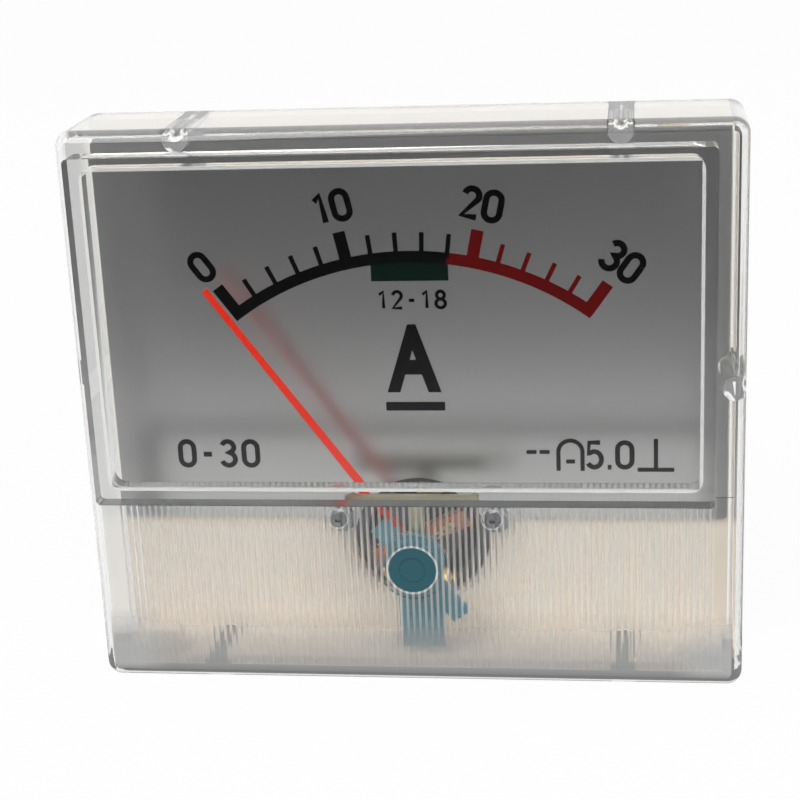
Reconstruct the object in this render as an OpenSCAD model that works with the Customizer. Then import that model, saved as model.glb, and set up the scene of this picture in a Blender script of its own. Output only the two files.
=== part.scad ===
// Small moving-coil panel ammeter with a clear, ribbed front cover.
// Millimetres. X points right, Y into the panel, Z up. The origin is the centre of the
// seating face, where the cover and the base meet the front of the panel.

/* [Cover] */
// Width of the clear cover
cover_w = 64; // [63:0.5:72]
// Height of the clear cover
cover_h = 56; // [56:0.5:64]
// Depth of the cover from the panel to its ribbed face
cover_depth = 10.8; // [10.4:0.1:12]
// Thickness of the cover's side walls
cover_wall = 1; // [0.8:0.1:1.4]
// Thickness of the cover's ribbed face
face_t = 1.5; // [1.2:0.1:1.8]
// Radius of the cover's corners and front edges
cover_r = 1.5; // [1:0.1:2]
// Radius of the half-round locating posts inside the cover's walls
post_r = 1.2; // [0.8:0.1:1.5]
// Distance of the upper and lower posts from the middle
post_x = 20.5; // [14:0.5:22]
// Height of the side post above the middle
post_z = 2.6; // [0:0.1:5]

/* [Window] */
// Width of the raised window
window_w = 59.4; // [56:0.1:60]
// Sideways shift of the window from the middle
window_shift = -0.6; // [-1:0.1:0]
// Height of the raised window
window_h = 34; // [32:0.1:34.5]
// Distance from the cover's top edge to the window
window_drop = 1.9; // [1.7:0.1:3]
// How far the window stands proud of the ribbed face
window_raise = 2.75; // [2.2:0.05:3.5]
// Thickness of the window pane
pane_t = 1.8; // [1.2:0.1:2]
// Thickness of the window's side walls
window_wall = 1.1; // [0.9:0.1:1.5]
// Radius of the window's inner corners
window_r = 1.2; // [0.8:0.1:2]

/* [Ribs] */
// Distance from one rib to the next
rib_pitch = 0.6; // [0.55:0.05:1.2]
// Depth of the grooves between the ribs
rib_depth = 0.04; // [0.03:0.01:0.1]
// Width of the flat top of a rib
rib_flat = 0.3; // [0.1:0.05:0.35]
// Height of the plain band below the ribs
rib_margin = 1.9; // [1:0.1:4]

/* [Zero adjuster] */
// Diameter of the adjuster's head
adjuster_d = 4.6; // [4:0.1:5]
// Radial clearance of the head in the cover
adjuster_gap = 0.07; // [0.03:0.01:0.1]
// Thickness of the adjuster's snap lip
lip_t = 0.35; // [0.3:0.05:0.4]
// Radius of the adjuster's drive pin
pin_r = 0.4; // [0.3:0.05:0.5]
// Distance of the drive pin from the pivot
pin_offset = 1.95; // [1.8:0.05:2.1]

/* [Dial] */
// Thickness of the dial plate
dial_t = 0.4; // [0.3:0.1:0.6]
// Clearance between the dial plate and the cover's side walls
dial_margin = 0.3; // [0.2:0.1:1]
// Depth of the dial plate's lower edge below the middle
dial_bottom = 13.3; // [12.5:0.1:14]
// Radius of the cut-out in the dial plate round the movement
cutout_r = 6.7; // [6.3:0.1:6.8]
// Distance between the two dial screws
dial_screw_pitch = 15.7; // [15.7:0.1:17]
// Height of the dial screws above the pivot
dial_screw_rise = 2.3; // [2:0.1:3]

/* [Scale] */
// Outer radius of the scale band
scale_r = 30.2; // [28:0.1:31]
// Width of the scale band
band_w = 1.15; // [0.8:0.05:1.5]
// Angle from the first to the last mark
sweep = 71.2; // [60:0.1:80]
// Number of divisions
divisions = 15; // [10:5:30]
// Division where the black band ends and the red one starts
red_from = 9; // [6:1:12]
// Width of a minor mark
tick_w = 0.45; // [0.3:0.05:0.6]
// Length of a minor mark beyond the band
tick_len = 1.85; // [1.2:0.05:2.5]
// Width of a major mark
major_w = 1.2; // [0.8:0.1:1.5]
// Length of a major mark beyond the band
major_len = 2.65; // [2:0.05:3]
// Half the width of the green working zone
zone_half_w = 3.78; // [3:0.02:5]
// Depth of the green working zone below the band
zone_depth = 1.85; // [1:0.05:2.5]

/* [Movement] */
// Depth of the pivot below the middle of the face
pivot_drop = 15.7; // [15.5:0.1:16]
// Bore radius of the well that holds the movement
well_r = 7; // [6.95:0.05:7.1]
// Wall of the well
well_wall = 1.4; // [1.2:0.1:1.6]
// Wall of the soft-iron yoke
yoke_wall = 1.35; // [1.2:0.05:1.4]
// Radius of the magnet core
core_r = 4.1; // [3.9:0.05:4.15]
// Length of the magnet core
core_len = 9; // [8:0.1:9.5]
// Gap between the core and the coil former
core_gap = 0.35; // [0.3:0.05:0.4]
// Wall of the coil former
former_t = 0.25; // [0.2:0.05:0.3]
// Depth of the winding on the former
winding_t = 0.6; // [0.4:0.05:0.65]
// Width of the coil former
former_w = 2.2; // [1.8:0.1:2.4]
// Angle of the coil above the horizontal, pointer at zero
coil_angle = 25; // [22:1:30]
// Outer radius of the hairsprings
hairspring_r = 2.6; // [2.2:0.1:2.8]
// Turns of each hairspring
hairspring_turns = 5; // [3:1:6]

/* [Pointer] */
// Distance from the pivot to the pointer's tip
pointer_r = 33.7; // [30:0.1:34]
// Width of the pointer near the hub
pointer_w = 0.85; // [0.6:0.05:1]
// Width of the pointer's tip
pointer_tip_w = 0.6; // [0.3:0.05:0.8]
// Thickness of the pointer
pointer_t = 0.25; // [0.2:0.05:0.4]
// Length of the arms that carry the balance weights
arm_len = 4.6; // [4:0.1:4.8]
// Radius of the weight opposite the pointer
tail_weight_r = 1.2; // [1:0.05:1.3]
// Length of the weight opposite the pointer
tail_weight_len = 2; // [1.5:0.1:2.2]

/* [Case] */
// Thickness of the base's flange
base_t = 2; // [1.8:0.1:2.4]
// Thickness of the ledge along the base's lower edge
ledge_t = 1; // [0.8:0.1:1.2]
// Outer radius of the round case behind the panel
case_r = 24.5; // [24.5:0.5:25.5]
// Length of the case behind the panel
case_len = 25; // [24:0.5:32]
// Wall of the case
case_wall = 1.2; // [1:0.1:1.2]
// Thickness of the case's rear wall
case_floor = 2; // [1.6:0.1:3]

/* [Terminals] */
// Distance between the two terminal studs
terminal_pitch = 23; // [20:0.5:24]
// Diameter of the terminal studs
terminal_d = 4; // [3:0.5:5]
// Length of the terminal studs behind the case
terminal_len = 14; // [13:0.5:20]
// Width across the flats of the terminal nuts
terminal_af = 7; // [6.5:0.5:8]

/* [Mounting] */
// Sideways distance of each mounting stud from the middle
stud_x = 25.5; // [25:0.5:27]
// Vertical distance of each mounting stud from the middle
stud_z = 22; // [21:0.5:23]
// Diameter of the mounting studs
stud_d = 3; // [2.5:0.5:3]
// Length of the mounting studs behind the panel face
stud_len = 12; // [9:0.5:16]
// Width of the square stud heads, moulded into the base
stud_head_w = 5; // [4.5:0.1:5.5]

/* [Hidden] */
$fn = 48;
FIT = 0.15;         // clearance of moulded parts that drop into each other
BORE = 0.05;        // radial clearance of a screw in its hole
SEAT = 0.02;        // radial clearance of a nut on its thread
EPS = 0.5;          // overrun of a cut

// Cover
face_y = -cover_depth;
face_back_y = face_y + face_t;
room_w = cover_w - 2 * cover_wall;
room_h = cover_h - 2 * cover_wall;
room_r = 0.6;
window_z = cover_h / 2 - window_drop - window_h / 2;
window_front_y = face_y - window_raise;
boss_h = 0.4;
boss_r = 3.5;
land_r = adjuster_d / 2 + adjuster_gap + 0.1;
post_gap = 0.1;

// Stack of pieces on the pivot axis, from the face inwards
boss_back_y = face_back_y + boss_h;
lip_y = boss_back_y + 0.05;
lip_r = 2.9;
lever_y = lip_y + lip_t + 0.2;
lever_t = 0.6;
front_bridge_y = lever_y + lever_t + 0.2;
bridge_t = 0.7;
spring_y = front_bridge_y + bridge_t + 0.2;
spring_h = 0.4;
pointer_y = spring_y + spring_h + 0.2;
cross_y = pointer_y + pointer_t + 0.85;

// Base and dial
base_y = -base_t;
base_w = room_w - 2 * FIT;
base_h = room_h - 2 * FIT;
ledge_y = face_back_y + 0.3;
ledge_z = -base_h / 2 + ledge_t;
block_x = -26;
dial_y = base_y - dial_t;
dial_w = room_w - 2 * dial_margin;
dial_top = room_h / 2 - post_r - post_gap;
dial_r = 0.5;
dial_screw_x = dial_screw_pitch / 2;
dial_screw_z = -pivot_drop + dial_screw_rise;
ear_r = 1.6;
print_t = 0.05;
zero_angle = -sweep / 2;

// Movement
movement_gap = 0.05;
yoke_r = well_r - movement_gap;
yoke_in_r = yoke_r - yoke_wall;
yoke_front_y = -0.5;
core_y = 0;
coil_gap_y = 1.3;
former_in = core_r + core_gap;
former_out = former_in + former_t;
winding_out = former_out + winding_t;
coil_front_y = core_y - coil_gap_y - former_t - winding_t;
coil_back_y = core_y + core_len + coil_gap_y + former_t + winding_t;
rear_spring_y = coil_back_y + 0.45;
rear_bridge_y = rear_spring_y + spring_h + 1;
rear_bridge_t = 0.8;
well_step_y = rear_bridge_y + rear_bridge_t;
well_step = 0.9;
well_floor_y = well_step_y + 2.2;
well_floor_t = 1.2;
spacer_angle = 80;
spacer_w = 2.4;
jewel_r = 0.95;
jewel_cup_r = 0.18;
jewel_cup_depth = 0.6;
staff_r = 0.3;
pivot_r = 0.12;
pivot_len = 0.5;
collet_r = 0.6;
spring_strip = 0.08;
tang_r = 0.3;
tang_place = hairspring_r + tang_r + 0.1;
tang_angle = 125;
lead_hole_r = 1;

// Front bridge: a strip from the stop bar over the hub down to a foot on the yoke
bridge_w = 2.4;
bridge_leg_r = 5.7;
leg_t = 0.7;
foot_t = 0.7;
foot_w = 6.4;
foot_gap = 0.1;
stop_bar_r = 8.8;
stop_bar_h = 1.4;
stem_w = 1.6;
stem_x = 0.3;
stop_pin_r = 0.3;
stop_over = 3;
bridge_screw_r = 0.4;
bridge_head_r = 0.6;
bridge_head_h = 0.5;
bridge_screw_angle = 20;
bridge_thread_y = 2;
small_screw_r = 0.6;
small_head_r = 1.28;
small_head_h = 0.9;

// Case and terminals
case_in_r = case_r - case_wall;
case_drop = pivot_drop + well_r + well_wall + 0.2 - case_in_r;
case_floor_y = case_len - case_floor;
spigot_len = 3;
spigot_wall = 1.4;
case_boss_r = 2.6;
case_boss_place = (case_in_r - case_boss_r - 0.6) * sin(45);
case_screw_r = 1.3;
case_thread_len = 8;
terminal_r = terminal_d / 2;
shunt_t = 1;
shunt_w = 8;
lead_r = 0.4;
head_h = 2.8;
washer_t = 0.8;
lug_t = 0.5;
nut_h = 3.2;
lug_y = case_len + washer_t;
nut_y = lug_y + lug_t;
wire_gap = 1.2;
wire_nut_y = nut_y + nut_h + wire_gap;

// Mounting studs: lower left and upper right
stud_places = [[-stud_x, -stud_z], [stud_x, stud_z]];
stud_head_t = 1.1;
stud_head_y = base_y + 0.5;
stud_collar_r = stud_d / 2 + 0.4;

// ---- shapes that several pieces share ----

// Draws its child's X-Z outline from depth y0 to depth y1
module along_y(y0, y1) {
    translate([0, y1, 0]) rotate([90, 0, 0]) linear_extrude(y1 - y0) children();
}

// A round bar along Y, or a cone when r2 is given
module bar_y(x, z, r, y0, y1, r2 = undef) {
    translate([x, y0, z]) rotate([-90, 0, 0])
        cylinder(r1 = r, r2 = is_undef(r2) ? r : r2, h = y1 - y0);
}

// A hexagonal bar along Y, sized across its flats
module hex_y(x, z, across, y0, y1) {
    translate([x, y0, z]) rotate([-90, 0, 0])
        cylinder(d = across / cos(30), h = y1 - y0, $fn = 6);
}

// A rectangle with true round corners
module round_rect(w, h, r) {
    square([w - 2 * r, h], center = true);
    square([w, h - 2 * r], center = true);
    for (sx = [-1, 1], sz = [-1, 1])
        translate([sx * (w / 2 - r), sz * (h / 2 - r)]) circle(r);
}

// Puts its children on the pivot axis, turned clockwise as seen from the front
module on_pivot(angle = 0) {
    translate([0, 0, -pivot_drop]) rotate([0, angle, 0]) children();
}

// Puts its children on the case's axis
module on_case() {
    translate([0, 0, -case_drop]) children();
}

// A pan head with a cross slot, its top at y0
module pan_head(x, z, r, y0, h) {
    slot_w = 0.3 * r;
    difference() {
        bar_y(x, z, 0.8 * r, y0, y0 + 0.3 * h, r);
        cross_slot(x, z, r, y0, slot_w, 0.5 * h);
    }
    difference() {
        bar_y(x, z, r, y0 + 0.3 * h, y0 + h);
        cross_slot(x, z, r, y0, slot_w, 0.5 * h);
    }
}

module cross_slot(x, z, r, y0, w, depth) {
    for (a = [0, 90])
        translate([x, y0 + depth / 2 - EPS / 2, z]) rotate([0, a, 0])
            cube([1.2 * r, depth + EPS, w], center = true);
}

// ---- cover ----

// Solid block of the cover's outside, its front edges and corners rounded
module cover_block() {
    in_w = cover_w - 2 * cover_r;
    in_h = cover_h - 2 * cover_r;
    edge_y = face_y + cover_r;
    along_y(edge_y, 0) round_rect(cover_w, cover_h, cover_r);
    along_y(face_y, edge_y) square([in_w, in_h], center = true);
    for (s = [-1, 1]) {
        translate([s * in_w / 2, edge_y, 0]) cylinder(r = cover_r, h = in_h, center = true);
        translate([0, edge_y, s * in_h / 2]) rotate([0, 90, 0])
            cylinder(r = cover_r, h = in_w, center = true);
        for (t = [-1, 1]) translate([s * in_w / 2, edge_y, t * in_h / 2]) sphere(cover_r);
    }
}

// The grooves between the ribs, as one saw-toothed bar along Z
module rib_grooves() {
    count = floor((cover_w - 2 * cover_r) / rib_pitch);
    start = -count * rib_pitch / 2;
    teeth = [for (i = [0:count - 1]) each [
        [start + i * rib_pitch + rib_flat / 2, face_y],
        [start + (i + 0.5) * rib_pitch, face_y + rib_depth],
        [start + (i + 1) * rib_pitch - rib_flat / 2, face_y]]];
    bottom = -cover_h / 2 + rib_margin;
    difference() {
        translate([0, 0, bottom]) linear_extrude(cover_h)
            polygon(concat([[start, face_y - EPS]], teeth, [[-start, face_y - EPS]]));
        bar_y(0, -pivot_drop, land_r, face_y - 2 * EPS, face_y + EPS);
    }
}

module window_outline(inset, r) {
    translate([window_shift, window_z])
        round_rect(window_w - 2 * inset, window_h - 2 * inset, r);
}

// Two posts above, two below and one at the right
module posts(r) {
    for (s = [-1, 1], t = [-1, 1]) translate([s * post_x, t * room_h / 2]) circle(r);
    translate([room_w / 2, post_z]) circle(r);
}

module cover() {
    color([0.88, 0.92, 0.93, 0.35]) {
        difference() {
            union() {
                difference() {
                    cover_block();
                    rib_grooves();
                }
                along_y(window_front_y, face_y + rib_depth + 0.1) window_outline(0, 0.5);
            }
            along_y(face_back_y, EPS) round_rect(room_w, room_h, room_r);
            along_y(window_front_y + pane_t, face_back_y + EPS)
                window_outline(window_wall, window_r);
            bar_y(0, -pivot_drop, adjuster_d / 2 + adjuster_gap, face_y - EPS, face_back_y + EPS);
        }
        difference() {
            bar_y(0, -pivot_drop, boss_r, face_back_y - 0.1, boss_back_y);
            bar_y(0, -pivot_drop, adjuster_d / 2 + adjuster_gap, face_y, boss_back_y + EPS);
        }
        along_y(face_back_y - 0.1, 0) intersection() {
            posts(post_r);
            square([room_w + 0.2, room_h + 0.2], center = true);
        }
    }
}

// ---- base and case ----

module screw_holes(places, r, y0, y1) {
    for (p = places) bar_y(p[0], p[1], r, y0, y1);
}

dial_screw_places = [[-dial_screw_x, dial_screw_z], [dial_screw_x, dial_screw_z]];
case_screw_places = [for (s = [-1, 1]) [s * case_boss_place, case_boss_place - case_drop]];
dial_thread_y = 2.6;

// Flange, ledge and corner block that stand inside the cover
module base_flange() {
    along_y(base_y, 0) difference() {
        round_rect(base_w, base_h, room_r);
        posts(post_r + FIT);
    }
    along_y(ledge_y, base_y + 0.1) difference() {
        translate([-base_w / 2 + room_r, -base_h / 2]) square([base_w - 2 * room_r, ledge_t]);
        posts(post_r + FIT);
    }
    along_y(ledge_y, ledge_y + 2) polygon([
        [block_x - 2.4, ledge_z - 0.1], [block_x - 1.1, ledge_z + 2.6],
        [block_x + 1.5, ledge_z + 2.6], [block_x + 1.5, ledge_z - 0.1]]);
}

module base() {
    spigot_r = case_in_r - 0.1;
    color([0.87, 0.84, 0.77]) difference() {
        union() {
            base_flange();
            difference() {
                bar_y(0, -case_drop, spigot_r, -0.5, spigot_len);
                bar_y(0, -case_drop, spigot_r - spigot_wall, -1, spigot_len + EPS);
            }
            bar_y(0, -pivot_drop, well_r + well_wall, -0.5, well_floor_y + well_floor_t);
            screw_holes(dial_screw_places, 1.7, -0.5, dial_thread_y + 1);
            screw_holes(case_screw_places, case_boss_r, -0.5, case_floor_y);
        }
        bar_y(0, -pivot_drop, well_r + 0.5, base_y - 0.1, base_y + 0.4, well_r);
        bar_y(0, -pivot_drop, well_r, base_y - EPS, well_step_y);
        bar_y(0, -pivot_drop, well_r - well_step, well_step_y - EPS, well_floor_y);
        translate([0, rear_spring_y, -pivot_drop + well_r - 1])
            cylinder(r = lead_hole_r, h = well_wall + 2);
        screw_holes(dial_screw_places, small_screw_r + BORE, base_y - EPS, dial_thread_y);
        screw_holes(case_screw_places, case_screw_r + BORE,
                    case_floor_y - case_thread_len - 1, case_floor_y + EPS);
        screw_holes(stud_places, stud_collar_r + BORE, stud_head_y, EPS);
        for (p = stud_places) translate([p[0], 0, p[1]])
            along_y(stud_head_y - BORE, stud_head_y + stud_head_t + BORE)
                square(stud_head_w + 2 * BORE, center = true);
    }
}

// Round case behind the panel, a cup with a bevelled rear edge
module back_case() {
    bevel = 1;
    color([0.9, 0.89, 0.85]) difference() {
        translate([0, 0, -case_drop]) rotate([-90, 0, 0]) rotate_extrude() polygon([
            [0, case_floor_y], [case_in_r, case_floor_y], [case_in_r, 0], [case_r, 0],
            [case_r, case_len - bevel], [case_r - bevel, case_len], [0, case_len]]);
        for (s = [-1, 1]) bar_y(s * terminal_pitch / 2, -case_drop, terminal_r + 0.1,
                                case_floor_y - EPS, case_len + EPS);
        screw_holes(case_screw_places, case_screw_r + 0.2, case_floor_y - EPS, case_len + EPS);
    }
}

module case_screws() {
    head_r = 2.5;
    head_t = 1.6;
    color("silver") for (p = case_screw_places) {
        bar_y(p[0], p[1], case_screw_r, case_floor_y - case_thread_len, case_len + 0.2);
        mirror([0, 1, 0]) pan_head(p[0], p[1], head_r, -case_len - head_t, head_t);
    }
}

// ---- dial ----

module dial_plate() {
    height = dial_top + dial_bottom;
    color([0.72, 0.72, 0.72]) along_y(dial_y, base_y) difference() {
        union() {
            translate([0, (dial_top - dial_bottom) / 2]) round_rect(dial_w, height, dial_r);
            for (p = dial_screw_places) translate(p) circle(ear_r);
        }
        translate([0, -pivot_drop]) circle(cutout_r);
        for (p = dial_screw_places) translate(p) circle(small_screw_r + 0.1);
        translate([room_w / 2, post_z]) circle(post_r + FIT);
    }
}

function mark_angle(i) = zero_angle + i * sweep / divisions;
function is_major(i) = i % 5 == 0;

// One printed mark, its foot in the band
module mark(i) {
    w = is_major(i) ? major_w : tick_w;
    len = is_major(i) ? major_len : tick_len;
    foot = scale_r - band_w / 2;
    rotate(-mark_angle(i)) translate([-w / 2, foot]) square([w, scale_r + len - foot]);
}

// The band between two divisions, lengthened by half a mark at either end of the scale
module band(from, to) {
    end = asin(major_w / 2 / scale_r);
    a0 = mark_angle(from) - (from == 0 ? end : 0);
    a1 = mark_angle(to) + (to == divisions ? end : 0);
    reach = 1.3 * scale_r;
    intersection() {
        difference() {
            circle(scale_r, $fn = 180);
            circle(scale_r - band_w, $fn = 180);
        }
        polygon([[0, 0], [reach * sin(a0), reach * cos(a0)],
                 [0, reach], [reach * sin(a1), reach * cos(a1)]]);
    }
}

module printed() {
    along_y(dial_y - print_t, dial_y) translate([0, -pivot_drop]) children();
}

module scale_black() {
    color("black") printed() {
        intersection() {
            band(0, divisions);
            polygon([[0, 0], [-2 * scale_r, 0], [-2 * scale_r, 2 * scale_r], [0, 2 * scale_r],
                     2 * scale_r * [sin(mark_angle(red_from)), cos(mark_angle(red_from))]]);
        }
        for (i = [0:red_from]) mark(i);
    }
}

module scale_red() {
    color("firebrick") printed() difference() {
        union() {
            intersection() {
                band(0, divisions);
                polygon([[0, 0], 2 * scale_r * [sin(mark_angle(red_from)), cos(mark_angle(red_from))],
                         [2 * scale_r, 2 * scale_r], [2 * scale_r, 0]]);
            }
            for (i = [red_from + 1:divisions]) mark(i);
        }
        mark(red_from);
    }
}

module scale_green() {
    top = scale_r - band_w;
    color("darkgreen") printed() difference() {
        translate([-zone_half_w, top - zone_depth]) square([2 * zone_half_w, zone_depth]);
        difference() {
            circle(scale_r + band_w, $fn = 180);
            circle(top, $fn = 180);
        }
    }
}

module dial_screws() {
    color("silver") for (p = dial_screw_places) {
        pan_head(p[0], p[1], small_head_r, dial_y - small_head_h, small_head_h);
        bar_y(p[0], p[1], small_screw_r, dial_y - 0.2, dial_thread_y - 0.4);
    }
}

// ---- bearings and zero setting ----

// The angle between the pointer and the downward line at which a stop pin holds it off
stop_angle = sweep / 2 + stop_over + asin((pointer_w / 2 + stop_pin_r + 0.05) / stop_bar_r);
stop_bar_z = stop_bar_r * cos(stop_angle);
stop_bar_half = stop_bar_r * sin(stop_angle) + stop_pin_r + 0.2;

// Stamped strip from the pointer's stop bar over the hub to a cranked foot on the yoke
module front_bridge() {
    back_y = front_bridge_y + bridge_t;
    foot_y = yoke_front_y - foot_t;
    color([0.72, 0.66, 0.48]) on_pivot() difference() {
        union() {
            bar_y(0, 0, 2, front_bridge_y, back_y);
            along_y(front_bridge_y, back_y) {
                translate([-bridge_w / 2, -bridge_leg_r - leg_t])
                    square([bridge_w, bridge_leg_r + leg_t]);
                translate([stem_x - stem_w / 2, 0]) square([stem_w, stop_bar_z]);
                translate([-stop_bar_half, stop_bar_z - stop_bar_h / 2])
                    square([2 * stop_bar_half, stop_bar_h]);
            }
            for (s = [-1, 1])
                bar_y(s * stop_bar_r * sin(stop_angle), stop_bar_z, stop_pin_r,
                      back_y - 0.1, pointer_y + pointer_t + 0.4);
            translate([-bridge_w / 2, front_bridge_y, -bridge_leg_r - leg_t])
                cube([bridge_w, yoke_front_y - front_bridge_y, leg_t]);
            along_y(foot_y, yoke_front_y) intersection() {
                difference() {
                    circle(yoke_r - foot_gap);
                    circle(yoke_in_r + foot_gap);
                }
                translate([-foot_w / 2, -yoke_r]) square([foot_w, yoke_r]);
            }
        }
        bar_y(0, 0, jewel_r + SEAT, front_bridge_y - EPS, back_y + EPS);
        bridge_screw_shapes(bridge_screw_r + BORE, foot_y - EPS, yoke_front_y + EPS);
    }
}

// A bar at each screw of the bridge's foot, halfway across the yoke's wall
module bridge_screw_shapes(r, y0, y1) {
    mid_r = (yoke_r + yoke_in_r) / 2;
    for (s = [-1, 1])
        bar_y(mid_r * sin(s * bridge_screw_angle), -mid_r * cos(bridge_screw_angle), r, y0, y1);
}

module bridge_screws() {
    head_y = yoke_front_y - foot_t;
    color("silver") on_pivot() {
        bridge_screw_shapes(bridge_head_r, head_y - bridge_head_h, head_y);
        bridge_screw_shapes(bridge_screw_r, head_y - 0.1, bridge_thread_y);
    }
}

module front_jewel_screw() {
    back_y = front_bridge_y + bridge_t + 0.05;
    color("goldenrod") difference() {
        bar_y(0, -pivot_drop, jewel_r, lever_y, back_y);
        bar_y(0, -pivot_drop, jewel_cup_r, back_y - jewel_cup_depth, back_y + EPS);
    }
}

module rear_jewel_screw() {
    front_y = rear_bridge_y - 0.25;
    color("goldenrod") difference() {
        bar_y(0, -pivot_drop, jewel_r, front_y, well_step_y + 1);
        bar_y(0, -pivot_drop, jewel_cup_r, front_y - EPS, front_y + jewel_cup_depth);
    }
}

// Flat lever that turns on the front jewel screw and shifts the spring's fixed end
module zero_lever() {
    hub_r = 3;
    tab_w = 4.4;
    tab_len = -ledge_z - pivot_drop - 0.95;
    tab_x = 0.5;
    arm_w = 2;
    spring_arm_len = tang_place + 2.2;
    free_arm_len = 7.4;
    color([0.5, 0.71, 0.78]) {
        along_y(lever_y, lever_y + lever_t) translate([0, -pivot_drop]) difference() {
            union() {
                circle(hub_r);
                translate([tab_x - tab_w / 2, -tab_len]) square([tab_w, tab_len]);
                rotate(132) translate([0, -arm_w / 2]) square([spring_arm_len, arm_w]);
                rotate(-52) translate([0, -arm_w / 2]) square([free_arm_len, arm_w]);
            }
            circle(jewel_r + BORE);
            translate([0, -pin_offset]) {
                for (s = [-1, 1]) translate([0, s * 0.1]) circle(pin_r + 0.04);
                square([2 * (pin_r + 0.04), 0.2], center = true);
            }
        }
        rotate_about_pivot(tang_angle) bar_y(tang_place, 0, tang_r,
                                             lever_y + lever_t - 0.1, spring_y + spring_h);
    }
}

// Places its child at an angle counted anticlockwise from +X round the pivot
module rotate_about_pivot(angle) {
    on_pivot(-angle) children();
}

module zero_adjuster() {
    dimple_r = 1.3;
    color([0.2, 0.42, 0.48]) difference() {
        union() {
            bar_y(0, -pivot_drop, adjuster_d / 2, face_y, lip_y + 0.1);
            bar_y(0, -pivot_drop, lip_r, lip_y, lip_y + lip_t);
            bar_y(0, -pivot_drop - pin_offset, pin_r, lip_y, lever_y + lever_t);
        }
        bar_y(0, -pivot_drop, dimple_r, face_y - EPS, face_y + 0.08);
    }
}

// ---- magnet system ----

module yoke() {
    color([0.42, 0.42, 0.44]) difference() {
        bar_y(0, -pivot_drop, yoke_r, yoke_front_y, rear_bridge_y);
        bar_y(0, -pivot_drop, yoke_in_r, yoke_front_y - EPS, rear_bridge_y + EPS);
        translate([0, rear_spring_y, -pivot_drop]) cylinder(r = lead_hole_r, h = 2 * yoke_r);
        on_pivot() bridge_screw_shapes(bridge_screw_r + BORE, yoke_front_y - EPS, bridge_thread_y + 0.5);
    }
}

module magnet_core() {
    color([0.3, 0.3, 0.32]) bar_y(0, -pivot_drop, core_r, core_y, core_y + core_len);
}

module core_spacers() {
    color("darkgoldenrod") for (s = [0, 180]) rotate_about_pivot(spacer_angle + s)
        along_y(core_y + 0.5, core_y + core_len - 0.5) intersection() {
            difference() {
                circle(yoke_in_r);
                circle(core_r);
            }
            translate([0, -spacer_w / 2]) square([2 * yoke_in_r, spacer_w]);
        }
}

module rear_bridge() {
    opening_r = 2.6;
    color("darkgoldenrod") {
        difference() {
            bar_y(0, -pivot_drop, yoke_r, rear_bridge_y, well_step_y);
            bar_y(0, -pivot_drop, jewel_r + SEAT, rear_bridge_y - EPS, well_step_y + EPS);
            for (a = [90, 270]) rotate_about_pivot(a)
                bar_y(4, 0, 0.6 * opening_r, rear_bridge_y - EPS, well_step_y + EPS);
        }
        rotate_about_pivot(180)
            bar_y(tang_place, 0, tang_r, rear_spring_y, rear_bridge_y + 0.1);
    }
}

// ---- moving coil ----

// A flat rectangular loop round the core: half width, axial ends and loop width
module loop(half_w, y0, y1, w, wall) {
    on_pivot(-coil_angle) difference() {
        translate([-half_w, y0, -w / 2]) cube([2 * half_w, y1 - y0, w]);
        translate([-half_w + wall, y0 + wall, -w]) cube([2 * (half_w - wall), y1 - y0 - 2 * wall, 2 * w]);
    }
}

module coil_former() {
    color("lightgray")
        loop(former_out, coil_front_y + winding_t, coil_back_y - winding_t, former_w, former_t);
}

module coil_winding() {
    color([0.7, 0.36, 0.2])
        loop(winding_out, coil_front_y, coil_back_y, former_w - 0.4, winding_t);
}

// A staff with a disc foot on the coil and a fine pivot at its far end
module staff(foot_y, end_y) {
    dir = sign(end_y - foot_y);
    foot_disc = 0.25;
    shoulder_y = end_y - dir * pivot_len;
    span = [min(foot_y, shoulder_y), max(foot_y, shoulder_y)];
    tip = [min(shoulder_y, end_y), max(shoulder_y, end_y)];
    disc = [min(foot_y, foot_y + dir * foot_disc), max(foot_y, foot_y + dir * foot_disc)];
    color("silver") {
        bar_y(0, -pivot_drop, staff_r, span[0], span[1]);
        bar_y(0, -pivot_drop, pivot_r, tip[0] - 0.05, tip[1] + 0.05);
        bar_y(0, -pivot_drop, 0.8, disc[0], disc[1]);
    }
}

module front_staff() {
    staff(coil_front_y, front_bridge_y + bridge_t + 0.05 - 0.35);
}

module rear_staff() {
    staff(coil_back_y, rear_bridge_y - 0.25 + 0.35);
}

// Spiral strip, wound outwards from its collet to the fixed end
module hairspring(y0, end_angle, turn) {
    steps = 20 * hairspring_turns;
    function r_at(i) = collet_r + (hairspring_r - collet_r) * i / steps;
    function a_at(i) = end_angle + turn * 360 * hairspring_turns * (i - steps) / steps;
    inner = [for (i = [0:steps]) (r_at(i) - spring_strip / 2) * [cos(a_at(i)), sin(a_at(i))]];
    outer = [for (i = [steps:-1:0]) (r_at(i) + spring_strip / 2) * [cos(a_at(i)), sin(a_at(i))]];
    color([0.72, 0.5, 0.25]) {
        along_y(y0, y0 + spring_h) translate([0, -pivot_drop]) polygon(concat(inner, outer));
        difference() {
            bar_y(0, -pivot_drop, collet_r + spring_strip / 4, y0, y0 + spring_h);
            bar_y(0, -pivot_drop, staff_r + SEAT, y0 - EPS, y0 + spring_h + EPS);
        }
    }
}

module front_hairspring() {
    hairspring(spring_y, tang_angle, -1);
}

module rear_hairspring() {
    hairspring(rear_spring_y, 180, -1);
}

arm_r = 0.3;

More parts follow.
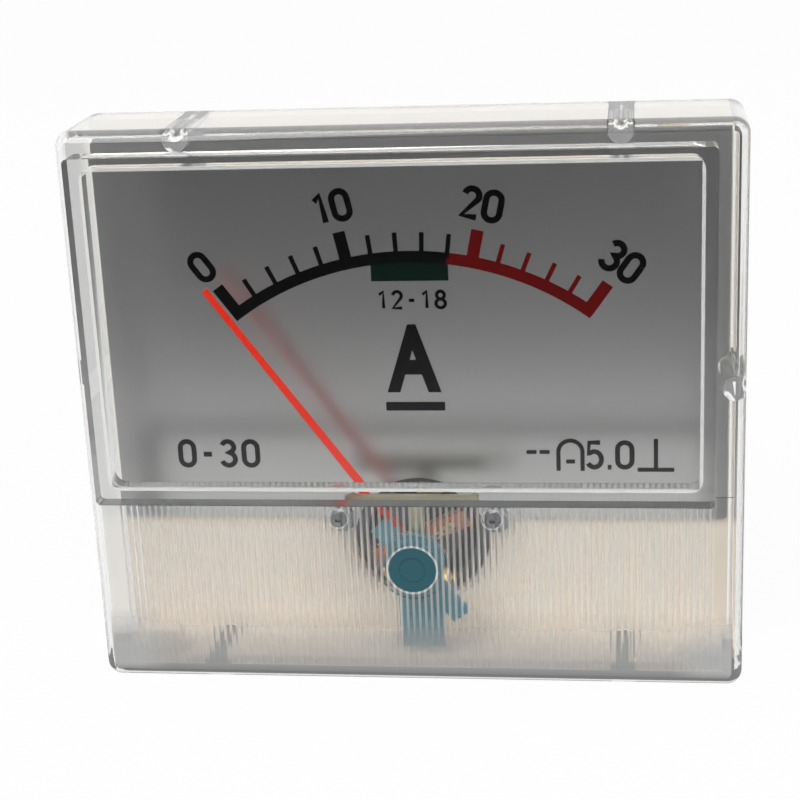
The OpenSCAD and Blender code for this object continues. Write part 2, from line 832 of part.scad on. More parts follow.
// Hub with three round arms, square to the pointer and behind it
module balance_cross() {
    hub_r = 1.4;
    color("silver") on_pivot(zero_angle) difference() {
        union() {
            bar_y(0, 0, hub_r, cross_y - arm_r, cross_y + arm_r);
            for (a = [90, 180, 270]) rotate([0, a, 0]) translate([0, cross_y, 0.5])
                cylinder(r = arm_r, h = arm_len - 0.5);
        }
        bar_y(0, 0, staff_r + SEAT, cross_y - 1, cross_y + 1);
    }
}

// Two small trimming weights on the side arms and the heavy one opposite the pointer
module balance_weights() {
    module weight(angle, r, len) {
        rotate([0, angle, 0]) translate([0, cross_y, arm_len - 0.2 - len]) difference() {
            cylinder(r = r, h = len);
            translate([0, 0, -EPS]) cylinder(r = arm_r + SEAT, h = len + 2 * EPS);
        }
    }
    color("goldenrod") on_pivot(zero_angle) {
        weight(90, 0.55, 1);
        weight(180, tail_weight_r, tail_weight_len);
        weight(270, 0.55, 1);
    }
}

module pointer() {
    color("red") on_pivot(zero_angle) along_y(pointer_y, pointer_y + pointer_t) difference() {
        union() {
            polygon([[-pointer_w / 2, 0], [pointer_w / 2, 0], [pointer_tip_w / 2, pointer_r],
                     [-pointer_tip_w / 2, pointer_r]]);
            circle(1.1);
        }
        circle(staff_r + SEAT);
    }
}

// ---- circuit and terminals ----

module shunt() {
    half = terminal_pitch / 2 + shunt_w / 2;
    color([0.62, 0.42, 0.3]) on_case() along_y(case_floor_y - shunt_t, case_floor_y) difference() {
        square([2 * half, shunt_w], center = true);
        for (s = [-1, 1]) {
            translate([s * terminal_pitch / 2, 0]) circle(terminal_r + BORE);
            translate([s * 3, s * 3]) square([0.8, shunt_w - 3], center = true);
        }
    }
}

// Points of one ring of a tube round p, square to the direction d
function ring(p, d, r, n) = let (
    u = d / norm(d), side = cross(u, [0.2, 0.1, 1]), a = side / norm(side), b = cross(u, a))
    [for (i = [0:n - 1]) p + r * (cos(360 * i / n) * a + sin(360 * i / n) * b)];

// A wire along a list of points
module wire(points, r, n = 8) {
    last = len(points) - 1;
    rings = [for (i = [0:last]) ring(points[i],
        points[min(i + 1, last)] - points[max(i - 1, 0)], r, n)];
    sides = [for (k = [0:last - 1], i = [0:n - 1])
        [k * n + i, k * n + (i + 1) % n, (k + 1) * n + (i + 1) % n, (k + 1) * n + i]];
    polyhedron(points = [for (q = rings) each q],
        faces = concat([[for (i = [n - 1:-1:0]) i]], sides, [[for (i = [0:n - 1]) last * n + i]]));
}

// Each lead runs from a stud head to the hole in the wall of the well
module lead_wires() {
    start_y = case_floor_y - shunt_t - head_h;
    end_y = rear_spring_y;
    x = terminal_pitch / 2;
    z = -case_drop;
    hole_z = -pivot_drop + well_r + well_wall;
    near_x = 0.5 * lead_hole_r;
    color("crimson") for (s = [-1, 1]) wire([
        [s * x, start_y, z],
        [s * x, start_y - 0.8, z],
        [s * (x - 0.6), start_y - 1.8, z - 0.6],
        [s * (x - 2), start_y - 3, z - 1.4],
        [s * x / 2, (start_y + end_y) / 2, (z + hole_z) / 2],
        [s * (near_x + 1.5), end_y + 0.6, hole_z + 2.2],
        [s * near_x, end_y, hole_z + 0.8],
        [s * near_x, end_y, hole_z - well_wall]], lead_r);
}

module terminal_studs() {
    color("gold") on_case() for (s = [-1, 1]) {
        x = s * terminal_pitch / 2;
        hex_y(x, 0, terminal_af, case_floor_y - shunt_t - head_h, case_floor_y - shunt_t);
        bar_y(x, 0, terminal_r, case_floor_y - shunt_t - 0.2, case_len + terminal_len - 0.5);
        bar_y(x, 0, terminal_r, case_len + terminal_len - 0.5, case_len + terminal_len,
              terminal_r - 0.5);
    }
}

module washer(x, z, hole_r, r, y0, y1) {
    difference() {
        bar_y(x, z, r, y0, y1);
        bar_y(x, z, hole_r, y0 - EPS, y1 + EPS);
    }
}

module nut(x, z, hole_r, across, y0, y1) {
    difference() {
        hex_y(x, z, across, y0, y1);
        bar_y(x, z, hole_r, y0 - EPS, y1 + EPS);
    }
}

module terminal_washers() {
    color("silver") on_case() for (s = [-1, 1], y = [case_len, wire_nut_y - washer_t])
        washer(s * terminal_pitch / 2, 0, terminal_r + SEAT, terminal_af / 2 + 1, y, y + washer_t);
}

// Ring tags, each with a tongue that points upwards
module solder_lugs() {
    ring_r = terminal_af / 2 + 0.6;
    tongue = ring_r + 4.9;
    color("silver") on_case() for (s = [-1, 1])
        translate([s * terminal_pitch / 2, 0, 0]) along_y(lug_y, lug_y + lug_t) difference() {
            union() {
                circle(ring_r);
                translate([-1.8, 0]) square([3.6, tongue]);
                translate([0, tongue]) circle(1.8);
            }
            circle(terminal_r + SEAT);
            translate([0, tongue - 0.5]) circle(1);
        }
}

module terminal_nuts() {
    color("gold") on_case() for (s = [-1, 1], y = [nut_y, wire_nut_y])
        nut(s * terminal_pitch / 2, 0, terminal_r + SEAT, terminal_af, y, y + nut_h);
}

// ---- mounting studs ----

module mounting_studs() {
    bevel = 0.4;
    color("gold") for (p = stud_places) {
        translate([p[0], 0, p[1]]) along_y(stud_head_y, stud_head_y + stud_head_t)
            square(stud_head_w, center = true);
        bar_y(p[0], p[1], stud_collar_r, stud_head_y + stud_head_t - 0.1, 0);
        bar_y(p[0], p[1], stud_d / 2, -0.1, stud_len - bevel);
        bar_y(p[0], p[1], stud_d / 2, stud_len - bevel, stud_len, stud_d / 2 - bevel);
    }
}

cover();
base();
back_case();
case_screws();
dial_plate();
scale_black();
scale_red();
scale_green();
dial_screws();
front_bridge();
bridge_screws();
front_jewel_screw();
zero_lever();
zero_adjuster();
yoke();
magnet_core();
core_spacers();
rear_bridge();
rear_jewel_screw();
coil_former();
coil_winding();
front_staff();
rear_staff();
front_hairspring();
rear_hairspring();
balance_cross();
balance_weights();
pointer();
shunt();
lead_wires();
terminal_studs();
terminal_washers();
solder_lugs();
terminal_nuts();
mounting_studs();
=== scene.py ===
# %% [markdown]
# # A moving-coil panel meter
# This lesson dresses a small panel ammeter: a clear ribbed cover over a satin dial, a red pointer,
# and a cream base with its round case. The construction comes in as a fixed frame, in metres, with
# X to the right, Y into the panel and Z up. Its shapes are exact already, so they stay as they are.
# Here they get their finishes, and the printed numbers, a floor, lights and a camera are added.

# %% Load the frame
import math

import bpy
from mathutils import Matrix, Vector


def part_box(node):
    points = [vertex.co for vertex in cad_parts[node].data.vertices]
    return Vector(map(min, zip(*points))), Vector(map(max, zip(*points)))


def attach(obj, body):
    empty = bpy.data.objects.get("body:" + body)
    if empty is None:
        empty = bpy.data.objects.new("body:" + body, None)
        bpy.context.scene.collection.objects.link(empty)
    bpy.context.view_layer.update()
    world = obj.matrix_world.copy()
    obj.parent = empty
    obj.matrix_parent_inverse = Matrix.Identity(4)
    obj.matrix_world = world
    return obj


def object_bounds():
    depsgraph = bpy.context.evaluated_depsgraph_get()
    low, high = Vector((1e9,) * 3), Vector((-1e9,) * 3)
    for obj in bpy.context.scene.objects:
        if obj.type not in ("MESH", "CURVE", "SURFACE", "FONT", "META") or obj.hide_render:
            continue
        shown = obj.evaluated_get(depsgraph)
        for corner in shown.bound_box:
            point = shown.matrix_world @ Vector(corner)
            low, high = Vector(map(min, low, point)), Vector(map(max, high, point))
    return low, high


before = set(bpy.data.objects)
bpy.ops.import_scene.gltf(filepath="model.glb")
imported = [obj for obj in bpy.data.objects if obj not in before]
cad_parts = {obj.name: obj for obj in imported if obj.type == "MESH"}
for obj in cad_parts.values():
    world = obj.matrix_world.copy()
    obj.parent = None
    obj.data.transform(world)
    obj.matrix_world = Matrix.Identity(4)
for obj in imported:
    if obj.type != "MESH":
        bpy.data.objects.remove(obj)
cad_low, cad_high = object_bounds()
MM = 0.001
print("size of the frame in mm:", [round(v / MM, 1) for v in cad_high - cad_low])

# %% [markdown]
# ## The camera
# The meter is seen from above and a little from the right, from close by, so its sides converge. A
# constraint could aim the camera, but three angles say more plainly how it stands: how far it looks
# to the left, how far down, and how far it is tilted about its own line of sight. Its place is
# given in millimetres from the frame's origin.

# %% Camera
CAMERA_PLACE = Vector((22.232, -174.021, 57.315)) * MM
TURN = math.radians(7.9)
DOWN = math.radians(18.582)
TILT = math.radians(2.6527)
SENSOR_MM, LENS_MM = 36, 82.47
NEAREST = 0.01

forward = Vector(
    (-math.sin(TURN) * math.cos(DOWN), math.cos(TURN) * math.cos(DOWN), -math.sin(DOWN))
)
level = Vector((math.cos(TURN), math.sin(TURN), 0))
below = forward.cross(level)
to_right = math.cos(TILT) * level + math.sin(TILT) * below
upwards = math.sin(TILT) * level - math.cos(TILT) * below

camera_data = bpy.data.cameras.new("camera")
camera_data.sensor_width = SENSOR_MM
camera_data.lens = LENS_MM
camera_data.clip_start = NEAREST
camera = bpy.data.objects.new("camera", camera_data)
camera.matrix_world = Matrix((to_right, upwards, -forward)).transposed().to_4x4()
camera.location = CAMERA_PLACE
bpy.context.scene.collection.objects.link(camera)
bpy.context.scene.camera = camera
print("the camera is", round(CAMERA_PLACE.length / MM), "mm from the frame's origin")

# %% [markdown]
# ## Shader maths as Python
# A material is a tree of nodes. It could be drawn by hand in the Shader editor, but long chains of
# Math nodes are hard to read there. Here a small class wraps one socket of the tree and lets plain
# arithmetic add the Math nodes. Everything else comes from its method node().

# %% A wire of a material's tree
class Wire:
    """One socket of a node tree. Arithmetic on it adds Math nodes."""

    def __init__(self, tree, socket=None):
        self.tree = tree
        self.socket = socket

    def node(self, kind, settings=None, sockets=None, out=0):
        """A new node: its settings first, then a value or a wire for each of its sockets."""
        made = self.tree.nodes.new(kind)
        for name, value in (settings or {}).items():
            if name == "stops":
                ramp = made.color_ramp
                while len(ramp.elements) < len(value):
                    ramp.elements.new(1)
                for element, (place, colour) in zip(ramp.elements, value):
                    element.position = place
                    element.color = colour
            else:
                setattr(made, name, value)
        for name, value in (sockets or {}).items():
            if isinstance(value, Wire):
                self.tree.links.new(value.socket, made.inputs[name])
            else:
                made.inputs[name].default_value = value
        return Wire(self.tree, made.outputs[out] if made.outputs else None)

    def maths(self, operation, *values):
        return self.node("ShaderNodeMath", {"operation": operation}, dict(enumerate(values)))

    def __add__(self, other):
        return self.maths("ADD", self, other)

    def __sub__(self, other):
        return self.maths("SUBTRACT", self, other)

    def __rsub__(self, other):
        return self.maths("SUBTRACT", other, self)

    def __mul__(self, other):
        return self.maths("MULTIPLY", self, other)

    __radd__ = __add__
    __rmul__ = __mul__

    def absolute(self):
        return self.maths("ABSOLUTE", self)

    def larger(self, other):
        return self.maths("MAXIMUM", self, other)

    def smaller(self, other):
        return self.maths("MINIMUM", self, other)

    def clamped(self):
        return self.larger(0).smaller(1)

    def mixed(self, low, high):
        """A colour between low and high, by this wire's value."""
        return self.node("ShaderNodeMix", {"data_type": "RGBA"}, {0: self, 6: low, 7: high}, 2)


# %% Starting and ending a material
def rgb(red, green, blue):
    return (red, green, blue, 1)


def shaded(colour, factor):
    """This colour, made darker by a factor."""
    return tuple(c * factor for c in colour)


def new_material(name):
    """An empty material, and a wire to build its tree with."""
    material = bpy.data.materials.new(name)
    material.use_nodes = True
    material.node_tree.nodes.clear()
    return material, Wire(material.node_tree)


def surface(wire, colour, roughness, more=None):
    """The Principled shader, with any further sockets in more."""
    sockets = {"Base Color": colour, "Roughness": roughness, **(more or {})}
    return wire.node("ShaderNodeBsdfPrincipled", sockets=sockets)


def mixed_shaders(wire, share, first, second):
    """The first shader, covered by this share of the second."""
    return wire.node("ShaderNodeMixShader", sockets={0: share, 1: first, 2: second})


def finish_material(wire, shader):
    wire.node("ShaderNodeOutputMaterial", sockets={"Surface": shader})


# %% [markdown]
# Surface grain could come from images, but noise needs no file and has no seams. It reads Object
# coordinates. The frame's objects all sit at the origin, so these coordinates are metres in the
# meter's own frame, and a grain keeps its size from piece to piece.

# %% Grain
def place_wire(wire):
    return wire.node("ShaderNodeTexCoord", out="Object")


def grain(wire, size_mm, stretch=(1, 1, 1), detail=2.0, rough=0.5):
    """Noise from 0 to 1 with features of about this size, drawn out by stretch."""
    scale = [1 / (size_mm * MM * s) for s in stretch]
    spread = wire.node("ShaderNodeMapping", sockets={"Vector": place_wire(wire), "Scale": scale})
    return wire.node(
        "ShaderNodeTexNoise",
        sockets={"Vector": spread, "Scale": 1.0, "Detail": detail, "Roughness": rough},
    )


def bump(wire, height, depth_mm):
    sockets = {"Height": height, "Distance": depth_mm * MM, "Strength": 1.0}
    return wire.node("ShaderNodeBump", sockets=sockets)


# %% [markdown]
# ## Plastics
# The base and the case are cream mouldings with a soft gloss, and the zero lever and its adjuster
# are blue ones. A single colour would look like paint on a screen. A real moulding's colour wanders
# slightly and its skin has a faint orange peel, so one recipe gives each a cloudy colour and fine
# bumps.

# %% Moulded plastic
COLOUR_WANDER = 0.03


def moulded(name, colour, roughness=0.35, depth_mm=0.01):
    material, wire = new_material(name)
    cloud = grain(wire, 9.0, detail=3)
    skin = grain(wire, 0.35, detail=2)
    base_colour = cloud.mixed(rgb(*shaded(colour, 1 - COLOUR_WANDER)), rgb(*colour))
    more = {"Normal": bump(wire, skin, depth_mm), "IOR": 1.5}
    finish_material(wire, surface(wire, base_colour, roughness + 0.1 * skin, more))
    return material


cream = moulded("cream_plastic", (0.8, 0.705, 0.615))
case_cream = moulded("case_plastic", (0.66, 0.62, 0.55), roughness=0.42, depth_mm=0.02)
light_blue = moulded("light_blue_plastic", (0.06, 0.185, 0.235), roughness=0.45)
teal = moulded("teal_plastic", (0.027, 0.135, 0.175), roughness=0.32)
red_sleeve = moulded("red_sleeve", (0.4, 0.02, 0.02), roughness=0.5)
print("plastics:", [m.name for m in (cream, case_cream, light_blue, teal, red_sleeve)])

# %% [markdown]
# ## Metals
# Turned and stamped metal shows fine tool marks. They could be cut into the mesh, but they are far
# too small for that. Instead the roughness and the height follow noise that is drawn out along the
# tool's path, and a second, larger noise stains the metal a little.

# %% Metal
STAIN_SHADE = 0.8


def metal(name, colour, roughness=0.3):
    material, wire = new_material(name)
    marks = grain(wire, 0.3, (6, 1, 1), detail=3)
    stain = grain(wire, 2.5, detail=2)
    base_colour = stain.mixed(rgb(*shaded(colour, STAIN_SHADE)), rgb(*colour))
    more = {"Metallic": 1.0, "Normal": bump(wire, marks, 0.01)}
    finish_material(wire, surface(wire, base_colour, roughness - 0.08 + 0.16 * marks, more))
    return material


plated_steel = metal("plated_steel", (0.62, 0.62, 0.63))
dull_steel = metal("dull_steel", (0.3, 0.31, 0.33), roughness=0.4)
pale_brass = metal("pale_brass", (0.5, 0.46, 0.32), roughness=0.4)
brass = metal("brass", (0.7, 0.54, 0.28))
soft_iron = metal("soft_iron", (0.18, 0.18, 0.19), roughness=0.45)
bare_aluminium = metal("bare_aluminium", (0.78, 0.78, 0.79))
copper = metal("copper", (0.72, 0.33, 0.18), roughness=0.35)
tinned_brass = metal("tinned_brass", (0.74, 0.73, 0.7), roughness=0.38)

# %% [markdown]
# The coil is wound from enamelled copper wire. Its many turns could be modelled, but they would be
# heavy and hardly seen. A sine over the height draws them as fine ridges that run round the former,
# under a clear coat, with painted shade that darkens the valleys between the turns.

# %% Enamelled winding
TURN_PITCH_MM = 0.12


def winding():
    material, wire = new_material("enamelled_winding")
    height = wire.node("ShaderNodeSeparateXYZ", sockets={0: place_wire(wire)}, out="Z")
    turns = wire.maths("SINE", height * (2 * math.pi / (TURN_PITCH_MM * MM))) * 0.5 + 0.5
    # Painted shade: the colour darkens in the valleys between the turns.
    base_colour = turns.mixed(rgb(0.24, 0.07, 0.03), rgb(0.6, 0.22, 0.09))
    more = {"Metallic": 0.6, "Coat Weight": 0.6, "Normal": bump(wire, turns, 0.03)}
    finish_material(wire, surface(wire, base_colour, 0.35, more))
    return material


enamelled = winding()

# %% [markdown]
# ## The dial and its ink
# The dial is thin aluminium sheet, satin all over, with a grain so fine that it shows only as a
# sparkle. Its rise from dark at the top to light at the bottom could be painted on with a ramp, but
# then it would stay there from every side. On the real one it is a reflection, so it is left to the
# surroundings. The ink is screen-printed and matt, with a slightly uneven coat. The pointer's
# lacquer is made in the same way.

# %% Satin dial
def satin_dial():
    material, wire = new_material("satin_dial")
    sparkle = grain(wire, 0.12, detail=3, rough=0.7)
    brushed = grain(wire, 0.1, (14, 1, 1), detail=2)
    base_colour = sparkle.mixed(rgb(0.54, 0.54, 0.545), rgb(0.73, 0.73, 0.73))
    more = {"Metallic": 1.0, "Normal": bump(wire, sparkle * 0.6 + brushed * 0.4, 0.012)}
    finish_material(wire, surface(wire, base_colour, 0.28 + 0.1 * brushed, more))
    return material


# %% Ink
def ink(name, colour):
    material, wire = new_material(name)
    coat = grain(wire, 0.25, detail=3)
    lighter = tuple(c * 1.4 + 0.0005 for c in colour)
    base_colour = coat.mixed(rgb(*colour), rgb(*lighter))
    more = {"Normal": bump(wire, coat, 0.004), "Specular IOR Level": 0.04}
    finish_material(wire, surface(wire, base_colour, 0.5 + 0.2 * coat, more))
    return material


dial_metal = satin_dial()
black_ink = ink("black_ink", (0.001, 0.001, 0.0015))
red_ink = ink("red_ink", (0.088, 0.0015, 0.002))
green_ink = ink("green_ink", (0.001, 0.009, 0.006))
pointer_red = ink("pointer_red", (0.66, 0.028, 0.013))
print("inks:", [m.name for m in (black_ink, red_ink, green_ink, pointer_red)])

# %% [markdown]
# ## The clear cover
# The cover is one clear moulding. It bends light as real plastic does, which draws the dark and
# bright lines round the window. Such a moulding is never clear all over. A light haze lies in the
# grooves between the ribs, on the outer walls, in the corners of the window's pocket and round the
# adjuster's hole. Shade is painted on too: a dark plastic darkens the underside of the window's
# step, the foot of the face and the ends of the upper posts. The haze could be a second, thin mesh,
# but it is simpler to mix a milky plastic and the dark painted shade into the clear one, by masks
# that are worked out from the place on the cover in millimetres.

# %% Masks from a place
def axis_mm(wire, axis):
    """One coordinate of the surface, in millimetres."""
    place = wire.node("ShaderNodeSeparateXYZ", sockets={0: place_wire(wire)}, out=axis)
    return place * (1 / MM)


def past(value, edge, soft=0.05):
    """0 before this edge and 1 past it, over a soft step."""
    return ((value - edge) * (1 / soft)).clamped()


def up_to(value, edge, soft=0.05):
    """1 before this edge and 0 past it, over a soft step."""
    return ((edge - value) * (1 / soft)).clamped()


def between(value, low, high, soft=0.05):
    """1 between two edges and 0 outside them."""
    return past(value, low, soft).smaller(up_to(value, high, soft))


def distance_to(x, z, spot):
    """How far the surface is from the point (x, z) of the face."""
    across, up = x - spot[0], z - spot[1]
    square = across * across + up * up
    return square.maths("SQRT", square)


# %% Places on the cover, in millimetres
HAIR = 0.1
FACE_Y = cad_low.y / MM + 2.75
PANE_BACK_Y = cad_low.y / MM + 1.8
RIB_PITCH = 0.6
RIBBED_X, RIBBED_FOOT = (-28.9, 29.3), -26.1
WINDOW_MIDDLE, WINDOW_HALF, WINDOW_WALL = (-0.6, 9.1), (29.7, 17.0), 1.1
WINDOW_FOOT = WINDOW_MIDDLE[1] - WINDOW_HALF[1]
WALL = 0.9
POST_X, SIDE_POST_Z, POST_REACH = (19.2, 21.8), (1.3, 3.9), 2.4
SIGHT_FLATS, SIGHT_RADIUS = [(-7.1, -10.3), (7.95, -10.3)], 0.95
adjuster_low, adjuster_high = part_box("zero_adjuster")
ADJUSTER = (0, (adjuster_low.z + adjuster_high.z) / 2 / MM)
ADJUSTER_RIM = (2.25, 2.6)
print("face at y =", round(FACE_Y, 2), "mm, window's foot at z =", round(WINDOW_FOOT, 2), "mm")

# %% [markdown]
# The ribs are real ridges of the mesh. Two small round flats in them, one in front of each dial
# screw, would be very small cuts, so there the surface only gets one straight normal. The smooth
# part of the face gets the same one.

# %% Where the face is ribbed, and what is hazy on it
def face_masks(wire, x, z):
    """Where the face has ribs, their grooves, and the rims of the adjuster's hole and the flats."""
    ribbed = between(z, RIBBED_FOOT, WINDOW_FOOT) * between(x, *RIBBED_X)
    rims = between(distance_to(x, z, ADJUSTER), *ADJUSTER_RIM)
    for spot in SIGHT_FLATS:
        away = distance_to(x, z, spot)
        ribbed = ribbed * (1 - up_to(away, SIGHT_RADIUS))
        rims = rims + between(away, SIGHT_RADIUS - 0.05, SIGHT_RADIUS + 0.15)
    grooves = (wire.maths("COSINE", x * (2 * math.pi / RIB_PITCH)) * 1.1 + 0.4).clamped()
    return ribbed, grooves * ribbed, rims


def window_masks(x, y, z):
    """The corner line of the window's pocket, the pocket's walls, and the window's step."""
    from_side = WINDOW_HALF[0] - (x - WINDOW_MIDDLE[0]).absolute()
    from_top = WINDOW_HALF[1] - (z - WINDOW_MIDDLE[1]).absolute()
    inset = from_side.smaller(from_top)
    line = between(inset, WINDOW_WALL - HAIR, WINDOW_WALL + 0.35)
    walls = between(inset, WINDOW_WALL - HAIR, WINDOW_WALL + 0.5)
    step = between(z, WINDOW_FOOT - 0.05, WINDOW_FOOT + 0.08) * up_to(y, FACE_Y + HAIR)
    return (
        line * between(y, PANE_BACK_Y - HAIR, PANE_BACK_Y + 0.3),
        walls * between(y, PANE_BACK_Y, FACE_Y + 1.4),
        step,
    )


def wall_masks(x, y, z):
    """The outer walls, the posts in them, and the ends of the upper posts."""
    beside = x.absolute() - (cad_high.x / MM - WALL)
    above = z.absolute() - (cad_high.z / MM - WALL)
    walls = beside.clamped().larger(above.clamped())
    posts = between(x.absolute(), *POST_X) + between(z, *SIDE_POST_Z)
    post_ends = posts.clamped() * between(y, -0.3, 0.2) * past(z, 0)
    return walls, posts, post_ends * between(beside.larger(above), -POST_REACH, 0.5)


# %% [markdown]
# Lamps have to reach the dial through the cover. Refracted light from a lamp comes through slowly
# and in spots, so for shadow rays the cover is a plain see-through surface with a slight tint.

# %% Clear plastic
HAZE = {
    "grooves": 0.45, "rims": 0.5, "face": 0.08, "corners": 0.45,
    "walls": 0.24, "line": 0.62, "pocket": 0.2,
}
# How much painted shade lies under the window's step, at the foot of the face and on the ends of
# the upper posts.
PAINTED_SHADE_SHARES = {"step": 0.75, "foot": 0.26, "posts": 0.75}


def haze_and_painted_shade(wire, x, y, z):
    """How milky the cover is, how much shade is painted on it, and where its face is smooth."""
    on_face = between(y, FACE_Y - HAIR, FACE_Y + HAIR)
    ribbed, grooves, rims = face_masks(wire, x, z)
    corner_line, pocket, step = window_masks(x, y, z)
    walls, posts, post_ends = wall_masks(x, y, z)
    foot = on_face * between(z, -30, -20, soft=4.5)
    foot_corners = foot * past(x.absolute(), 25, soft=10 / 3)
    haze = on_face * (
        grooves.larger(foot * 1.3) * HAZE["grooves"]
        + rims * HAZE["rims"]
        + past(z, WINDOW_FOOT) * HAZE["face"]
        + foot_corners * HAZE["corners"]
    )
    haze = haze + walls * (1 - posts * 0.7) * HAZE["walls"]
    haze = haze + corner_line * HAZE["line"] + pocket * HAZE["pocket"]
    # Painted shade: a dark plastic under the window's step, at the foot of the face and on the ends
    # of the upper posts.
    painted_shade = step * PAINTED_SHADE_SHARES["step"] + foot * PAINTED_SHADE_SHARES["foot"] + post_ends * PAINTED_SHADE_SHARES["posts"]
    return haze.clamped(), painted_shade.clamped(), on_face * (1 - ribbed)


def clear_plastic():
    material, wire = new_material("clear_plastic")
    haze, painted_shade, smooth = haze_and_painted_shade(wire, *(axis_mm(wire, axis) for axis in "XYZ"))
    own_normal = wire.node("ShaderNodeNewGeometry", out="Normal")
    normals = {0: smooth, 4: own_normal, 5: (0, -1, 0)}
    glassy = {
        "IOR": 1.49,
        "Specular IOR Level": 0.35,
        "Transmission Weight": 1.0,
        "Normal": wire.node("ShaderNodeMix", {"data_type": "VECTOR"}, normals, 1),
    }
    clouds = grain(wire, 6.0, detail=3)
    body = surface(wire, rgb(0.97, 0.975, 0.97), 0.02 + 0.03 * clouds, glassy)
    milky = surface(wire, rgb(0.95, 0.945, 0.93), 0.3)
    # A dark plastic that paints shade under the window's step, at the face's foot and on the post
    # ends.
    painted_shade_plastic = surface(wire, rgb(0.04, 0.04, 0.045), 0.3)
    plastic = mixed_shaders(wire, painted_shade, mixed_shaders(wire, haze, body, milky), painted_shade_plastic)
    see_through = wire.node("ShaderNodeBsdfTransparent", sockets={"Color": rgb(0.9, 0.91, 0.9)})
    lamp_ray = wire.node("ShaderNodeLightPath", out="Is Shadow Ray")
    finish_material(wire, mixed_shaders(wire, lamp_ray, plastic, see_through))
    return material


clear = clear_plastic()
print("nodes in the cover's material:", len(clear.node_tree.nodes))

# %% [markdown]
# ## Dressing the frame
# The finishes could be given to the parts one line at a time. A table that says which parts share a
# finish is shorter, and reads like a parts list.

# %% Give every part of the frame its finish
FINISHES = {
    clear: ["cover"],
    cream: ["base"],
    case_cream: ["back_case"],
    plated_steel: ["case_screws", "bridge_screws", "terminal_washers"],
    dull_steel: ["dial_screws"],
    dial_metal: ["dial_plate"],
    black_ink: ["scale_black"],
    red_ink: ["scale_red"],
    green_ink: ["scale_green"],
    light_blue: ["zero_lever"],
    teal: ["zero_adjuster"],
    soft_iron: ["yoke", "magnet_core"],
    pale_brass: ["front_bridge"],
    brass: [
        "core_spacers", "rear_bridge", "front_jewel_screw", "rear_jewel_screw",
        "balance_weights", "terminal_studs", "terminal_nuts", "mounting_studs",
    ],
    bare_aluminium: ["coil_former", "front_staff", "rear_staff", "balance_cross"],
    enamelled: ["coil_winding"],
    copper: ["front_hairspring", "rear_hairspring", "shunt"],
    tinned_brass: ["solder_lugs"],
    red_sleeve: ["lead_wires"],
    pointer_red: ["pointer"],
}


def dress(piece, material):
    piece.data.materials.clear()
    piece.data.materials.append(material)


for finish, names in FINISHES.items():
    for name in names:
        dress(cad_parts[name], finish)
dressed = sum(len(names) for names in FINISHES.values())
print("parts with a finish:", dressed, "of", len(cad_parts))

# %% [markdown]
# ## Numbers and signs
# The print could be an image on the dial, but it would blur close up. Here every number and sign is
# a thin solid of ink that lies just in front of the sheet and rides on the housing.

# %% Places on the dial
dial_low, dial_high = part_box("dial_plate")
core_low, core_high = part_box("magnet_core")
PIVOT_Z = ((core_low + core_high) / 2).z / MM
INK_HEIGHT = 0.03 * MM
INK_BACK = dial_low.y - 0.01 * MM
INK_MIDDLE = INK_BACK - INK_HEIGHT / 2
print("dial face at y =", round(dial_low.y / MM, 2), "mm, pivot at z =", round(PIVOT_Z, 2), "mm")


# %% Helpers for modelling
def only(piece):
    """Makes this piece the only one that an operator acts on."""
    bpy.ops.object.select_all(action="DESELECT")
    piece.select_set(True)
    bpy.context.view_layer.objects.active = piece


def bake_place(piece):
    only(piece)
    bpy.ops.object.transform_apply(location=True, rotation=True, scale=True)


def thicken(piece, offset):
    """Gives a flat sheet the height of the ink."""
    thick = piece.modifiers.new("thick", "SOLIDIFY")
    thick.thickness = INK_HEIGHT
    thick.offset = offset
    only(piece)
    bpy.ops.object.modifier_apply(modifier="thick")


def pick_edges(piece, wanted):
    """Leaves the piece in edit mode, with the edges selected whose two ends pass the test."""
    only(piece)
    bpy.ops.object.mode_set(mode="EDIT")
    bpy.ops.mesh.select_mode(type="EDGE")
    bpy.ops.mesh.select_all(action="DESELECT")
    bpy.ops.object.mode_set(mode="OBJECT")
    for edge in piece.data.edges:
        edge.select = wanted(*(piece.data.vertices[v].co for v in edge.vertices))
    bpy.ops.object.mode_set(mode="EDIT")


def print_in_black(piece):
    """Black ink that stays with the housing."""
    dress(piece, black_ink)
    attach(piece, "housing")


# %% [markdown]
# The numbers are drawn with one even stroke, as an engraver's template gives them. A font's stroke
# swells and thins, so each digit is a few lines and arcs instead, on a grid 1.5 wide and 2.75 high.
# A curve follows them with a round section, is made a mesh and is pressed flat, which leaves an
# even stroke of ink.

# %% Digits of one even stroke
def arc(x, z, wide, high, start, end):
    """Points on part of an oval, by angles in degrees from the right, anticlockwise."""
    steps = max(3, round(abs(end - start) / 15))
    turns = [math.radians(start + (end - start) * i / steps) for i in range(steps + 1)]
    return [(x + wide * math.cos(t), z + high * math.sin(t)) for t in turns]


